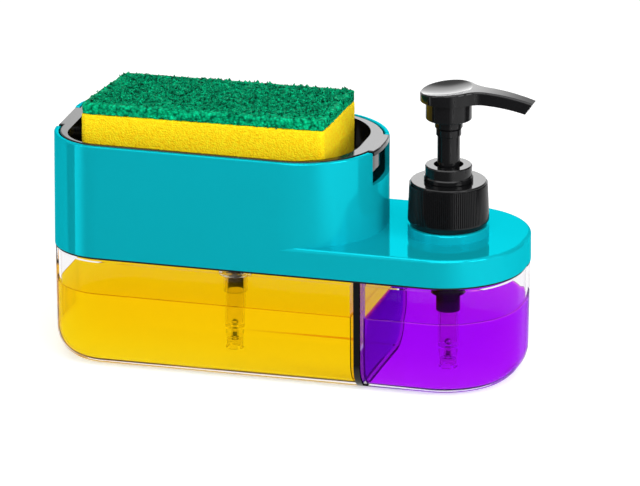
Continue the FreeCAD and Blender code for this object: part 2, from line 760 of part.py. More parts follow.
def head_pad(x):
    # Plan and side view crossed, with rounded upper edges and a thumb dish.
    pad = head_plan(x).common(head_profile(x)).Solids[0]
    rims = []
    for edge in pad.Edges:
        box = edge.BoundBox
        above = box.ZMin > head_z + (head_rise - nozzle_top_drop) / 2
        if above and box.XMin < x + nozzle_tip_x - head_edge_r:
            rims.append(edge)
    pad = pad.makeFillet(head_edge_r, rims)
    low_x = head_dish_edge - head_disc_r
    low = vec(x + low_x, 0, head_z + fall(head_peak_x, head_rise, -head_disc_r, head_rise - head_rear_rise, low_x))
    high = vec(x + head_dish_reach, 0, head_z + head_rise)
    dish_r = low.distanceToPoint(high) / 2
    ball = (dish_r ** 2 + head_dish_depth ** 2) / (2 * head_dish_depth)
    upright = (high - low).cross(vec(0, 1, 0)).normalize()
    if upright.z < 0:
        upright = upright * -1
    return pad.cut(Part.makeSphere(ball, (low + high) * 0.5 + upright * (ball - head_dish_depth)))


def build_head():
    x = hand_axis_x
    collar = rod(collar_r, x, collar_z, head_z + collar_root)
    collar = collar.makeFillet(collar_edge_r, level_edges(collar, collar_z))
    head = head_pad(x).fuse(collar).removeSplitter()
    hollow = rod(collar_r - collar_wall, x, collar_z, head_z - collar_wall)
    head = head.cut(hollow.cut(rod(post_r, x, collar_z, head_z)))
    head = head.cut(rod(stem_r + push_gap, x, collar_z, collar_z + stem_plug))
    start = vec(x, 0, head_z + channel_start)
    bend = vec(x + channel_bend_x, 0, head_z + channel_rise)
    fall_line = vec(nozzle_tip_x - channel_bend_x, 0, -nozzle_bottom_drop)
    mouth = bend + fall_line * (1 - mouth_depth / fall_line.Length)
    channel = rod(channel_r, x, collar_z, start.z).fuse(Part.makeSphere(channel_r, start))
    channel = channel.fuse(Part.makeCylinder(channel_r, start.distanceToPoint(bend), start, bend - start))
    channel = channel.fuse(Part.makeSphere(channel_r, bend))
    channel = channel.fuse(Part.makeCylinder(channel_r, fall_line.Length, bend, fall_line))
    channel = channel.fuse(Part.makeCylinder(mouth_r, mouth_depth, mouth, fall_line))
    keep("pump_head", head.cut(channel))


build_tanks()
build_cover()
build_tray()
build_sponge()
build_dish_pump()
build_closure()
build_hand_pump()
build_head()

os.makedirs("parts", exist_ok=True)
for name, shape in parts.items():
    shape.exportStep("parts/%s.step" % name)
    print("%-20s solids %d valid %s volume %.1f" % (name, len(shape.Solids), shape.isValid(), shape.Volume))
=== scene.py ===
import bpy
import json
import math
import random
import numpy as np
from mathutils import Matrix, Vector


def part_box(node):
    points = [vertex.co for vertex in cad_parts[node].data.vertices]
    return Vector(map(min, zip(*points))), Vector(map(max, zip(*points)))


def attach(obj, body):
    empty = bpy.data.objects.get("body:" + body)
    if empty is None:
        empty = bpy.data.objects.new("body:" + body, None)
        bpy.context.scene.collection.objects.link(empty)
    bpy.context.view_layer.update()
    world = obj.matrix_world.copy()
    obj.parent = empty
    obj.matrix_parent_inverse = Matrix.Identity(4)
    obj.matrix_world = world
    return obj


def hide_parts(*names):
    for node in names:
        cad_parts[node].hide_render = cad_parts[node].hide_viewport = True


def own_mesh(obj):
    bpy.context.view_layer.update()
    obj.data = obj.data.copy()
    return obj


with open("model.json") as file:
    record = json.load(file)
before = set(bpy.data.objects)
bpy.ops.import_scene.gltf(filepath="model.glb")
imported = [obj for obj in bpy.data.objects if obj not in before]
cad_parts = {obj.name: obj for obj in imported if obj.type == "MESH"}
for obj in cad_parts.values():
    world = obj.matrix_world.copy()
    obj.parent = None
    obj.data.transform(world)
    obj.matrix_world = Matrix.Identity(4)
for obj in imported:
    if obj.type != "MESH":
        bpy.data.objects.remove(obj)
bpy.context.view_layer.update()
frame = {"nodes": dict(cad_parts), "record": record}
nodes = frame["nodes"]
mm = 0.001
fullTurn = 2 * math.pi
print("frame loaded with", len(nodes), "nodes")


# ways of working

def clearSelection():
    if bpy.context.object and bpy.context.object.mode != "OBJECT":
        bpy.ops.object.mode_set(mode="OBJECT")
    bpy.ops.object.select_all(action="DESELECT")


def pick(piece):
    clearSelection()
    piece.select_set(True)
    bpy.context.view_layer.objects.active = piece


def applyAll(piece):
    pick(piece)
    for modifier in list(piece.modifiers):
        bpy.ops.object.modifier_apply(modifier=modifier.name)


def startEdit(piece, mode="EDGE"):
    pick(piece)
    bpy.ops.object.mode_set(mode="EDIT")
    bpy.ops.mesh.select_mode(type=mode)
    bpy.ops.mesh.select_all(action="DESELECT")
    bpy.ops.object.mode_set(mode="OBJECT")


def endEdit():
    bpy.ops.object.mode_set(mode="OBJECT")


def mergePoints(piece, apart):
    startEdit(piece, "VERT")
    bpy.ops.object.mode_set(mode="EDIT")
    bpy.ops.mesh.select_all(action="SELECT")
    bpy.ops.mesh.remove_doubles(threshold=apart)
    endEdit()


def smooth(piece, angle=None):
    pick(piece)
    if angle is None:
        bpy.ops.object.shade_smooth()
    else:
        bpy.ops.object.shade_smooth_by_angle(angle=math.radians(angle))


def cadCopy(name, node):
    piece = bpy.data.objects.new(name, nodes[node].data.copy())
    bpy.context.scene.collection.objects.link(piece)
    return piece


def centreOf(name):
    low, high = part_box(name)
    return (low + high) / 2


def block(name, low, high):
    clearSelection()
    bpy.ops.mesh.primitive_cube_add(size=1, location=(low + high) / 2, scale=high - low)
    piece = bpy.context.active_object
    piece.name = name
    bpy.ops.object.transform_apply(location=True, rotation=True, scale=True)
    return piece


def voxelGrid(piece, size):
    grid = piece.modifiers.new("grid", "REMESH")
    grid.mode = "VOXEL"
    grid.voxel_size = size


def roughen(piece, name, size, strength):
    grain = bpy.data.textures.new(name, "CLOUDS")
    grain.noise_scale = size
    push = piece.modifiers.new(name, "DISPLACE")
    push.texture = grain
    push.texture_coords = "LOCAL"
    push.strength = strength
    push.mid_level = 0.5


# shader groups that several finishes share

def makeGroup(name, inputs, outputs):
    group = bpy.data.node_groups.new(name, "ShaderNodeTree")
    for label, kind, value in inputs:
        socket = group.interface.new_socket(label, in_out="INPUT", socket_type=kind)
        socket.default_value = value
    for label, kind in outputs:
        group.interface.new_socket(label, in_out="OUTPUT", socket_type=kind)
    return group, group.nodes.new("NodeGroupInput"), group.nodes.new("NodeGroupOutput")


def addNode(tree, kind, settings=None, values=None):
    node = tree.nodes.new(kind)
    for key, value in (settings or {}).items():
        setattr(node, key, value)
    for key, value in (values or {}).items():
        node.inputs[key].default_value = value
    return node


def mixColors(tree, factor, first, second):
    # each colour is a socket to link or a plain value
    mix = addNode(tree, "ShaderNodeMix", {"data_type": "RGBA"})
    tree.links.new(factor, mix.inputs["Factor"])
    for place, color in ((6, first), (7, second)):
        if isinstance(color, tuple):
            mix.inputs[place].default_value = color
        else:
            tree.links.new(color, mix.inputs[place])
    return mix.outputs[2]


def mouldedGroup():
    # slow drift of tone and gloss over a moulding, and the fine ripple of its skin
    group, given, made = makeGroup(
        "mouldedFinish",
        [("Color", "NodeSocketColor", (0.5, 0.5, 0.5, 1)), ("Drift", "NodeSocketFloat", 0.1),
         ("Size", "NodeSocketFloat", 30.0), ("Gloss", "NodeSocketFloat", 0.2),
         ("Scuff", "NodeSocketFloat", 0.05), ("Grain", "NodeSocketFloat", 900.0)],
        [("Color", "NodeSocketColor"), ("Roughness", "NodeSocketFloat"), ("Height", "NodeSocketFloat")])
    link = group.links.new
    place = addNode(group, "ShaderNodeTexCoord")
    slow = addNode(group, "ShaderNodeTexNoise", values={"Detail": 3.0, "Roughness": 0.55})
    link(place.outputs["Object"], slow.inputs["Vector"])
    link(given.outputs["Size"], slow.inputs["Scale"])
    centred = addNode(group, "ShaderNodeMath", {"operation": "SUBTRACT"}, {1: 0.5})
    link(slow.outputs["Fac"], centred.inputs[0])
    tone = addNode(group, "ShaderNodeMath", {"operation": "MULTIPLY_ADD"}, {2: 1.0})
    link(centred.outputs[0], tone.inputs[0])
    link(given.outputs["Drift"], tone.inputs[1])
    shade = addNode(group, "ShaderNodeVectorMath", {"operation": "SCALE"})
    link(given.outputs["Color"], shade.inputs[0])
    link(tone.outputs[0], shade.inputs["Scale"])
    link(shade.outputs["Vector"], made.inputs["Color"])
    fine = addNode(group, "ShaderNodeTexNoise", values={"Detail": 2.0})
    link(place.outputs["Object"], fine.inputs["Vector"])
    link(given.outputs["Grain"], fine.inputs["Scale"])
    link(fine.outputs["Fac"], made.inputs["Height"])
    gloss = addNode(group, "ShaderNodeMath", {"operation": "MULTIPLY_ADD", "use_clamp": True})
    link(centred.outputs[0], gloss.inputs[0])
    link(given.outputs["Scuff"], gloss.inputs[1])
    link(given.outputs["Gloss"], gloss.inputs[2])
    link(gloss.outputs[0], made.inputs["Roughness"])
    return group


cellShare = {"cells": 0.55, "light": 0.45, "cellShadeAndMottle": 1.05}  # weight of the cells, where the cells' own light tone ends and the painted shade with random mottling begins


def cellGroup():
    # open cells of foam or gaps of matted fibre: painted shade where the surface falls away into them, mixed with
    # random mottling of the same dark tone
    group, given, made = makeGroup(
        "openCells",
        [("Light", "NodeSocketColor", (1, 1, 1, 1)), ("CellShadeAndMottle", "NodeSocketColor", (0, 0, 0, 1)),
         ("Size", "NodeSocketFloat", 600.0), ("Blotch", "NodeSocketFloat", 60.0)],
        [("Color", "NodeSocketColor"), ("Height", "NodeSocketFloat")])
    link = group.links.new
    place = addNode(group, "ShaderNodeTexCoord")
    cells = addNode(group, "ShaderNodeTexVoronoi", {"feature": "F1"})
    link(place.outputs["Object"], cells.inputs["Vector"])
    link(given.outputs["Size"], cells.inputs["Scale"])
    blotch = addNode(group, "ShaderNodeTexNoise", values={"Detail": 4.0})
    link(place.outputs["Object"], blotch.inputs["Vector"])
    link(given.outputs["Blotch"], blotch.inputs["Scale"])
    both = addNode(group, "ShaderNodeMath", {"operation": "MULTIPLY_ADD"}, {1: cellShare["cells"]})
    link(cells.outputs["Distance"], both.inputs[0])
    link(blotch.outputs["Fac"], both.inputs[2])
    share = addNode(group, "ShaderNodeMapRange",
                    values={"From Min": cellShare["light"], "From Max": cellShare["cellShadeAndMottle"]})
    link(both.outputs[0], share.inputs["Value"])
    blend = mixColors(group, share.outputs["Result"], given.outputs["Light"], given.outputs["CellShadeAndMottle"])
    link(blend, made.inputs["Color"])
    down = addNode(group, "ShaderNodeMath", {"operation": "SUBTRACT"}, {0: 1.0})
    link(cells.outputs["Distance"], down.inputs[1])
    link(down.outputs[0], made.inputs["Height"])
    return group


mouldedFinish = mouldedGroup()
openCells = cellGroup()


def newFinish(name):
    finish = bpy.data.materials.new(name)
    finish.use_nodes = True
    return finish, finish.node_tree, finish.node_tree.nodes["Principled BSDF"]


def setSockets(shader, values):
    for key, value in values.items():
        shader.inputs[key].default_value = value


def placeGroup(tree, group, values):
    node = tree.nodes.new("ShaderNodeGroup")
    node.node_tree = group
    setSockets(node, values)
    return node


bumpDepth = {"moulded": 0.0002, "liquid": 0.001, "soft": 0.0006}


def bumpFrom(tree, shader, height, strength, distance):
    bump = addNode(tree, "ShaderNodeBump", values={"Strength": strength, "Distance": distance})
    tree.links.new(height, bump.inputs["Height"])
    tree.links.new(bump.outputs["Normal"], shader.inputs["Normal"])


def fadeAt(tree, value, start, end):
    # smooth rise from 0 to 1 between two values
    rise = addNode(tree, "ShaderNodeMapRange", {"interpolation_type": "SMOOTHSTEP"},
                   {"From Min": start, "From Max": end})
    tree.links.new(value, rise.inputs["Value"])
    return rise.outputs["Result"]


def paintedEdgeShade(tree, color, look):
    # painted shade: clear walls and the soaps are coloured darker where they are seen along their length, standing
    # in for the dark edges that refraction gives
    turned = addNode(tree, "ShaderNodeLayerWeight", values={"Blend": 0.5})
    rise = fadeAt(tree, turned.outputs["Facing"], look["start"], 1)
    return mixColors(tree, rise, color, (*look["color"], 1))


def mouldedPlastic(name, look):
    finish, tree, shader = newFinish(name)
    skin = placeGroup(tree, mouldedFinish, {
        "Color": (*look["color"], 1), "Drift": look["drift"], "Size": look["size"],
        "Gloss": look["gloss"], "Scuff": look["scuff"], "Grain": look["grain"]})
    color = skin.outputs["Color"]
    # painted shade: darker colour where the surface is seen edge-on
    if "edge" in look:
        color = paintedEdgeShade(tree, color, look["edge"])
    tree.links.new(color, shader.inputs["Base Color"])
    tree.links.new(skin.outputs["Roughness"], shader.inputs["Roughness"])
    bumpFrom(tree, shader, skin.outputs["Height"], look["bump"], bumpDepth["moulded"])
    setSockets(shader, look["sockets"])
    return finish


def topOf(name):
    return max((nodes[name].matrix_world @ v.co).z for v in nodes[name].data.vertices)


# shares of the liquid's height and its tone there: another, painted light and shade, on the top surface (lighter
# for the hand soap, a deeper orange for the dish soap), and a painted dark shade line where it meets the wall
tide = ((0.0, "surface"), (0.966, "surface"), (0.974, "top"), (0.9835, "top"), (0.987, "paintedLevelShade"))


def toneByHeight(tree, look):
    place = addNode(tree, "ShaderNodeTexCoord")
    split = addNode(tree, "ShaderNodeSeparateXYZ")
    tree.links.new(place.outputs["Object"], split.inputs["Vector"])
    height = addNode(tree, "ShaderNodeMapRange", values={"From Max": topOf(look["node"])})
    tree.links.new(split.outputs["Z"], height.inputs["Value"])
    ramp = addNode(tree, "ShaderNodeValToRGB")
    stops = ramp.color_ramp.elements
    while len(stops) < len(tide):
        stops.new(1.0)
    for stop, (level, tone) in zip(stops, tide):
        stop.position = level
        stop.color = (*look[tone], 1)
    tree.links.new(height.outputs["Result"], ramp.inputs["Fac"])
    return ramp.outputs["Color"]


# what both soaps share; black takes the sheen off the liquid's own skin, as the tank wall has it
soapBody = {"skin": {"Drift": 0.06, "Size": 25.0, "Gloss": 0.012, "Scuff": 0.02}, "density": 36.0,
            "sockets": {"Transmission Weight": 0.94, "IOR": 1.03, "Specular Tint": (0, 0, 0, 1)}}


def liquid(name, look):
    # clear tinted soap: colour deepens with the length of the way through it
    finish, tree, shader = newFinish(name)
    skin = placeGroup(tree, mouldedFinish, {**soapBody["skin"], "Grain": look["waves"]})
    # painted light and shade: own tones for the top surface and the level line, and a darker colour where the soap
    # is seen along its length
    tree.links.new(toneByHeight(tree, look), skin.inputs["Color"])
    tree.links.new(paintedEdgeShade(tree, skin.outputs["Color"], look["edge"]), shader.inputs["Base Color"])
    tree.links.new(skin.outputs["Roughness"], shader.inputs["Roughness"])
    bumpFrom(tree, shader, skin.outputs["Height"], look["swell"], bumpDepth["liquid"])
    setSockets(shader, soapBody["sockets"])
    depth = addNode(tree, "ShaderNodeVolumeAbsorption",
                    values={"Color": (*look["depthColor"], 1), "Density": soapBody["density"]})
    tree.links.new(depth.outputs["Volume"], tree.nodes["Material Output"].inputs["Volume"])
    return finish


def softFinish(name, look):
    finish, tree, shader = newFinish(name)
    cells = placeGroup(tree, openCells, {"Light": (*look["light"], 1), "CellShadeAndMottle": (*look["cellShadeAndMottle"], 1),
                                         "Size": look["cell"], "Blotch": look["blotch"]})
    tree.links.new(cells.outputs["Color"], shader.inputs["Base Color"])
    bumpFrom(tree, shader, cells.outputs["Height"], look["bump"], bumpDepth["soft"])
    setSockets(shader, look["sockets"])
    return finish


finishes = {
    "teal_cover": mouldedPlastic("tealGloss", {
        "color": (0.003, 0.385, 0.46), "drift": 0.05, "size": 14.0, "gloss": 0.05, "scuff": 0.04, "grain": 260.0,
        "bump": 0.008,
        "sockets": {"Metallic": 0.27, "Specular Tint": (0.12, 0.95, 1.0, 1), "Specular IOR Level": 0.0}}),
    "black_plastic": mouldedPlastic("blackGloss", {
        "color": (0.005, 0.005, 0.0055), "drift": 0.5, "size": 40.0, "gloss": 0.09, "scuff": 0.06, "grain": 700.0,
        "bump": 0.015, "sockets": {"IOR": 1.5, "Specular IOR Level": 0.22}}),
    "seal_rubber": mouldedPlastic("sealRubber", {
        "color": (0.008, 0.008, 0.009), "drift": 0.4, "size": 120.0, "gloss": 0.6, "scuff": 0.2, "grain": 1500.0,
        "bump": 0.05, "sockets": {"Specular IOR Level": 0.15}}),
    "natural_plastic": mouldedPlastic("milkyPlastic", {
        "color": (0.93, 0.89, 0.85), "drift": 0.06, "size": 60.0, "gloss": 0.16, "scuff": 0.1, "grain": 900.0,
        "bump": 0.02, "sockets": {"Transmission Weight": 0.97, "IOR": 1.07}}),
    "steel": mouldedPlastic("springSteel", {
        "color": (0.62, 0.62, 0.63), "drift": 0.15, "size": 200.0, "gloss": 0.25, "scuff": 0.15, "grain": 2500.0,
        "bump": 0.04, "sockets": {"Metallic": 1.0}}),
    "clear_tank": mouldedPlastic("clearTank", {
        "color": (0.925, 0.92, 0.935), "drift": 0.01, "size": 20.0, "gloss": 0.008, "scuff": 0.012, "grain": 90.0,
        # edge: painted shade, a darker grey where the tank wall is seen edge-on
        "bump": 0.004, "edge": {"color": (0.5, 0.48, 0.5), "start": 0.7},
        "sockets": {"Transmission Weight": 1.0, "IOR": 1.03}}),
    # painted light and shade: the level line is a dark shade line, top is a tone for the top surface, edge darkens
    # the colour seen edge-on
    "dish_soap": liquid("dishSoap", {
        "node": "dish_soap", "paintedLevelShade": (0.45, 0.12, 0.0), "top": (0.995, 0.66, 0.01),
        "surface": (0.998, 0.74, 0.015), "depthColor": (0.998, 0.92, 0.0),
        "edge": {"color": (0.8, 0.2, 0.0), "start": 0.58}, "waves": 70.0, "swell": 0.05}),
    # painted light and shade, as for the dish soap: dark level line, top-surface tone and darker edge colour
    "hand_soap": liquid("handSoap", {
        "node": "hand_soap", "paintedLevelShade": (0.05, 0.0, 0.2), "top": (0.9, 0.2, 1.0),
        "surface": (0.48, 0.018, 0.99), "depthColor": (0.90, 0.0, 0.98),
        "edge": {"color": (0.42, 0.01, 0.9), "start": 0.6}, "waves": 60.0, "swell": 0.04}),
    # the dark tones are painted shade in the foam's cells and the pad's gaps, mixed with random mottling
    "yellow_foam": softFinish("yellowFoam", {
        "light": (1.0, 0.83, 0.012), "cellShadeAndMottle": (0.98, 0.60, 0.0), "cell": 1300.0, "blotch": 600.0, "bump": 0.6,
        "sockets": {"Roughness": 0.95, "Specular IOR Level": 0.15}}),
    "green_pad": softFinish("greenPad", {
        "light": (0.002, 0.66, 0.29), "cellShadeAndMottle": (0.0, 0.08, 0.036), "cell": 700.0, "blotch": 420.0, "bump": 0.8,
        "sockets": {"Roughness": 0.7, "Specular IOR Level": 0.02}}),
}
for row in frame["record"]["subparts"]:
    cadMesh = nodes[row["node"]].data
    cadMesh.materials.clear()
    cadMesh.materials.append(finishes[row["material_slot"]])


def wear(piece, slotName, body):
    piece.data.materials.clear()
    piece.data.materials.append(finishes[slotName])
    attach(piece, body)


# how the sponge really lies in its tray: a little turned and out of square
# moves of its corners in mm: front left, front right, back left, back right
lie = {"node": "sponge_foam", "moves": ((-1.9, 2.1), (-0.1, 6.3), (4.6, -3.5), (1.3, -0.1))}


def settle(piece):
    low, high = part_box(lie["node"])
    moves = np.array(lie["moves"]) * mm
    count = len(piece.data.vertices)
    spots = np.empty(count * 3)
    piece.data.vertices.foreach_get("co", spots)
    spots = spots.reshape(count, 3)
    along = (spots[:, :1] - low.x) / (high.x - low.x)
    across = (spots[:, 1:2] - low.y) / (high.y - low.y)
    front = moves[0] * (1 - along) + moves[1] * along
    back = moves[2] * (1 - along) + moves[3] * along
    spots[:, :2] += front * (1 - across) + back * across
    piece.data.vertices.foreach_set("co", spots.ravel())
    piece.data.update()


# the foam of the sponge

foam = {"node": "sponge_foam", "corner": 2.5 * mm, "voxel": 0.9 * mm, "pore": 1.1 * mm, "poreDepth": 0.4 * mm,
        "lump": 14 * mm, "lumpDepth": 0.3 * mm, "inset": 0.15 * mm, "fill": 0.9}
cornerSteps = 5


def roundUprights(piece, radius):
    startEdit(piece)
    for edge in piece.data.edges:
        a, b = (piece.data.vertices[i].co for i in edge.vertices)
        edge.select = abs(a.z - b.z) > 0.5 * (a - b).length
    bpy.ops.object.mode_set(mode="EDIT")
    bpy.ops.mesh.bevel(offset=radius, segments=cornerSteps, affect="EDGES")
    endEdit()


def makeFoam():
    low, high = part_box(foam["node"])
    shrink = Vector((foam["inset"], foam["inset"], 0))
    piece = block("foamBlock", low + shrink, high - shrink)
    roundUprights(piece, foam["corner"])
    voxelGrid(piece, foam["voxel"])
    roughen(piece, "lumps", foam["lump"], foam["lumpDepth"])
    roughen(piece, "pores", foam["pore"], foam["poreDepth"])
    applyAll(piece)
    settle(piece)
    smooth(piece)
    wear(piece, "yellow_foam", "sponge")
    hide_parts(foam["node"])
    print("foam:", len(piece.data.polygons), "faces")


# the scouring pad and its fibres

pad = {"node": "scouring_pad", "corner": 2.2 * mm, "voxel": 0.9 * mm, "gap": 2.0 * mm, "gapDepth": 0.8 * mm,
       "inset": 0.3 * mm, "fill": 0.9}
fibreLook = {"length": 5.5 * mm, "radius": 0.17 * mm, "sides": 3, "cuts": 4, "arch": 70, "seed": 11, "fill": 0.5,
             "sink": (0.3, 1), "pitch": 0.16, "roll": 0.4, "size": (0.6, 1.1)}
# tufts: fibres in one, its radius, how far apart tufts stand, their size, how deep their fibres sit,
# how far from the pad's edge they start, how deep they are planted and how far they stray
topTuft = {"fibres": 30, "radius": 4.6 * mm, "apart": 7.2 * mm, "size": 1.0, "sink": 0.9 * mm, "edge": 6.2 * mm,
           "plant": 0.25 * mm, "stray": 0.2}
sideTuft = {"fibres": 14, "radius": 3.0 * mm, "apart": 4.2 * mm, "size": 0.45, "sink": 0.45 * mm, "edge": 4.0 * mm,
            "plant": 0.2 * mm, "stray": 1}
tuftSize = (0.9, 1.05)


def makePad():
    low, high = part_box(pad["node"])
    shrink = Vector((pad["inset"], pad["inset"], 0))
    piece = block("padSheet", low + shrink, high - shrink - Vector((0, 0, pad["inset"])))
    roundUprights(piece, pad["corner"])
    voxelGrid(piece, pad["voxel"])
    roughen(piece, "gaps", pad["gap"], pad["gapDepth"])
    applyAll(piece)
    settle(piece)
    smooth(piece)
    wear(piece, "green_pad", "sponge")
    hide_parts(pad["node"])
    print("pad:", len(piece.data.polygons), "faces")


def makeFibre():
    # one arched fibre along X, to be copied
    clearSelection()
    bpy.ops.mesh.primitive_cylinder_add(vertices=fibreLook["sides"], radius=fibreLook["radius"],
                                        depth=fibreLook["length"], rotation=(0, math.pi / 2, 0))
    fibre = bpy.context.active_object
    bpy.ops.object.transform_apply(location=True, rotation=True, scale=True)
    startEdit(fibre)
    for edge in fibre.data.edges:
        a, b = (fibre.data.vertices[i].co for i in edge.vertices)
        edge.select = abs(a.x - b.x) > 0.5 * fibreLook["length"]
    bpy.ops.object.mode_set(mode="EDIT")
    bpy.ops.mesh.subdivide(number_cuts=fibreLook["cuts"])
    endEdit()
    arch = fibre.modifiers.new("arch", "SIMPLE_DEFORM")
    arch.deform_method = "BEND"
    arch.deform_axis = "Y"
    arch.angle = math.radians(fibreLook["arch"])
    applyAll(fibre)
    return fibre


def copyOf(piece, place, turn, size):
    twin = bpy.data.objects.new(piece.name, piece.data.copy())
    bpy.context.scene.collection.objects.link(twin)
    twin.data.transform(Matrix.Translation(place) @ turn.to_4x4() @ Matrix.Scale(size, 4))
    return twin


def joined(name, copies):
    clearSelection()
    for twin in copies:
        twin.select_set(True)
    bpy.context.view_layer.objects.active = copies[0]
    bpy.ops.object.join()
    piece = bpy.context.active_object
    piece.name = name
    return piece


def makeTuft(name, fibre, look, draw):
    copies = []
    for i in range(look["fibres"]):
        reach, bearing = look["radius"] * math.sqrt(draw.random()), draw.uniform(0, fullTurn)
        depth = look["sink"] * draw.uniform(*fibreLook["sink"])
        place = Vector((reach * math.cos(bearing), reach * math.sin(bearing), -depth))
        turn = (Matrix.Rotation(draw.uniform(0, fullTurn), 3, "Z")
                @ Matrix.Rotation(draw.gauss(0, fibreLook["pitch"]), 3, "Y")
                @ Matrix.Rotation(draw.gauss(0, fibreLook["roll"]), 3, "X"))
        copies.append(copyOf(fibre, place, turn, draw.uniform(*fibreLook["size"])))
    return joined(name, copies)


def spread(start, end, apart):
    count = max(1, round((end - start) / apart))
    return [start + (i + 0.5) * (end - start) / count for i in range(count)]


def makeFibres():
    draw = random.Random(fibreLook["seed"])
    low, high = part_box(pad["node"])
    fibre = makeFibre()
    middle = sum((v.co for v in fibre.data.vertices), Vector()) / len(fibre.data.vertices)
    fibre.data.transform(Matrix.Translation(-middle))
    rise = min(fibre.data.vertices, key=lambda v: abs(v.co.x)).co.z
    if rise < 0:
        fibre.data.transform(Matrix.Rotation(math.pi, 4, "X"))
    top = makeTuft("topTuft", fibre, topTuft, draw)
    side = makeTuft("sideTuft", fibre, sideTuft, draw)
    copies = []

    def plant(tuft, look, place, facing):
        turn = facing.to_track_quat("Z", "Y").to_matrix() @ Matrix.Rotation(draw.uniform(0, fullTurn), 3, "Z")
        copies.append(copyOf(tuft, place, turn, look["size"] * draw.uniform(*tuftSize)))

    apart, edge = topTuft["apart"], topTuft["edge"]
    stray = topTuft["stray"] * apart
    for x in spread(low.x + edge - apart / 2, high.x - edge + apart / 2, apart):
        for y in spread(low.y + edge - apart / 2, high.y - edge + apart / 2, apart):
            place = Vector((x + draw.uniform(-stray, stray), y + draw.uniform(-stray, stray),
                            high.z - topTuft["plant"]))
            plant(top, topTuft, place, Vector((0, 0, 1)))
    apart, edge, stray, deep = (sideTuft[key] for key in ("apart", "edge", "stray", "plant"))
    z = (low.z + high.z) / 2
    for x in spread(low.x + edge, high.x - edge, apart):
        for y, facing in ((low.y + deep, -1), (high.y - deep, 1)):
            plant(side, sideTuft, Vector((x, y, z + draw.uniform(-stray, stray) * mm)), Vector((0, facing, 0)))
    for y in spread(low.y + edge, high.y - edge, apart):
        for x, facing in ((low.x + deep, -1), (high.x - deep, 1)):
            plant(side, sideTuft, Vector((x, y, z + draw.uniform(-stray, stray) * mm)), Vector((facing, 0, 0)))
    for used in (fibre, top, side):
        bpy.data.objects.remove(used)
    piece = joined("padFibres", copies)
    settle(piece)
    smooth(piece)
    wear(piece, "green_pad", "sponge")
    print("fibres:", len(piece.data.polygons), "faces")


# the two soaps, closed round the pumps, with the rim of liquid that climbs the walls

soaps = {"dishLiquid": {"node": "dish_soap", "slot": "dish_soap", "pump": "dish_pump_cylinder"},
         "handLiquid": {"node": "hand_soap", "slot": "hand_soap", "pump": "hand_pump_cylinder"}}
soapRim = {"wellRadius": 6.5 * mm, "merge": 0.01 * mm, "flat": 0.4, "wetting": 1.2 * mm, "smooth": 40, "even": 100,
           "steps": ((0.35 * mm, -0.45 * mm), (0.6 * mm, -0.3 * mm), (1.1 * mm, -0.12 * mm))}


def makeSoap(name, look):
    piece = cadCopy(name, look["node"])
    mergePoints(piece, soapRim["merge"])
    startEdit(piece, "FACE")
    axis = centreOf(look["pump"])
    for face in piece.data.polygons:
        spots = [piece.data.vertices[i].co for i in face.vertices]
        face.select = all(math.hypot(p.x - axis.x, p.y - axis.y) < soapRim["wellRadius"] for p in spots)
    bpy.ops.object.mode_set(mode="EDIT")
    bpy.ops.mesh.delete(type="FACE")
    bpy.ops.mesh.select_all(action="SELECT")
    bpy.ops.mesh.fill_holes(sides=0)
    bpy.ops.mesh.dissolve_limited(angle_limit=math.radians(soapRim["flat"]))
    bpy.ops.mesh.select_all(action="SELECT")
    bpy.ops.transform.shrink_fatten(value=soapRim["wetting"])  # into the walls, as real refraction shows it
    bpy.ops.mesh.select_all(action="DESELECT")
    endEdit()
    top = max(v.co.z for v in piece.data.vertices)
    for face in piece.data.polygons:
        face.select = face.center.z > top - soapRim["merge"]
    bpy.ops.object.mode_set(mode="EDIT")
    bpy.ops.transform.translate(value=(0, 0, -soapRim["wetting"]))  # back down to its level
    for thickness, depth in soapRim["steps"]:
        bpy.ops.mesh.inset(thickness=thickness, depth=depth)
    bpy.ops.mesh.select_all(action="DESELECT")
    endEdit()
    smooth(piece, soapRim["smooth"])
    even = piece.modifiers.new("even", "WEIGHTED_NORMAL")  # flat walls stay flat up to their rounded edges
    even.weight = soapRim["even"]
    even.keep_sharp = True
    applyAll(piece)
    wear(piece, look["slot"], "tanks")
    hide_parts(look["node"])
    print(name, len(piece.data.polygons), "faces")


# the coil springs, which close up when their pump is pressed
springs = {"dishSpringCoil": {"node": "dish_spring", "body": "cover", "joint": "dish_press", "travel": 12 * mm},
           "handSpringCoil": {"node": "hand_spring", "body": "hand_pump", "joint": "hand_press", "travel": 16 * mm}}
coil = {"merge": 0.001 * mm, "smooth": 40}


def makeSpring(name, look):
    piece = cadCopy(name, look["node"])
    mergePoints(piece, coil["merge"])
    smooth(piece, coil["smooth"])
    wear(piece, "steel", look["body"])
    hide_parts(look["node"])
    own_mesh(piece)
    print(name, len(piece.data.polygons), "faces")


# the thread on the neck that the pump's closure screws on

thread = {"root": 15.6 * mm, "crest": 16.55 * mm, "rootWidth": 2.2 * mm, "crestWidth": 1.0 * mm, "pitch": 4.2 * mm,
          "turns": 1.6, "steps": 60, "start": 79.5 * mm, "runOut": 8, "bury": 0.3 * mm, "merge": 0.001 * mm,
          "smooth": 35}


